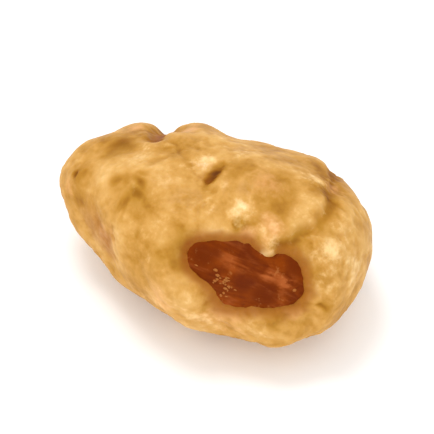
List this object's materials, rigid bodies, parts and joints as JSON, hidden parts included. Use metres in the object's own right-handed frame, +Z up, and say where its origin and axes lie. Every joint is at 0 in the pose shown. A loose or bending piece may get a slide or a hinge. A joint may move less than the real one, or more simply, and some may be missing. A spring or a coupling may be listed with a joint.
{
  "type": "butter toffee almond",
  "caption": "Whole almond in an uneven coat of pale butter toffee, with the brown skin of the nut showing where the coat has left it bare.",
  "frame": {"origin": "on the table under the middle of the nut: centre of the bounding box's bottom face", "axes": "+X along the nut from its narrow tip to its round end, +Y to the back, +Z up through its flattest direction; the larger bare patch faces -Y and up"},
  "size_m": [0.026, 0.0174, 0.0127],
  "materials": {
    "almond_skin": "dry, finely ridged reddish-brown nut skin with a slight sheen",
    "toffee": "buttery semi-gloss tan toffee, mottled cream and ochre"
  },
  "bodies": {
    "root": {"kernel": "almond_skin", "toffee_coat": "toffee"}
  },
  "joints": []
}
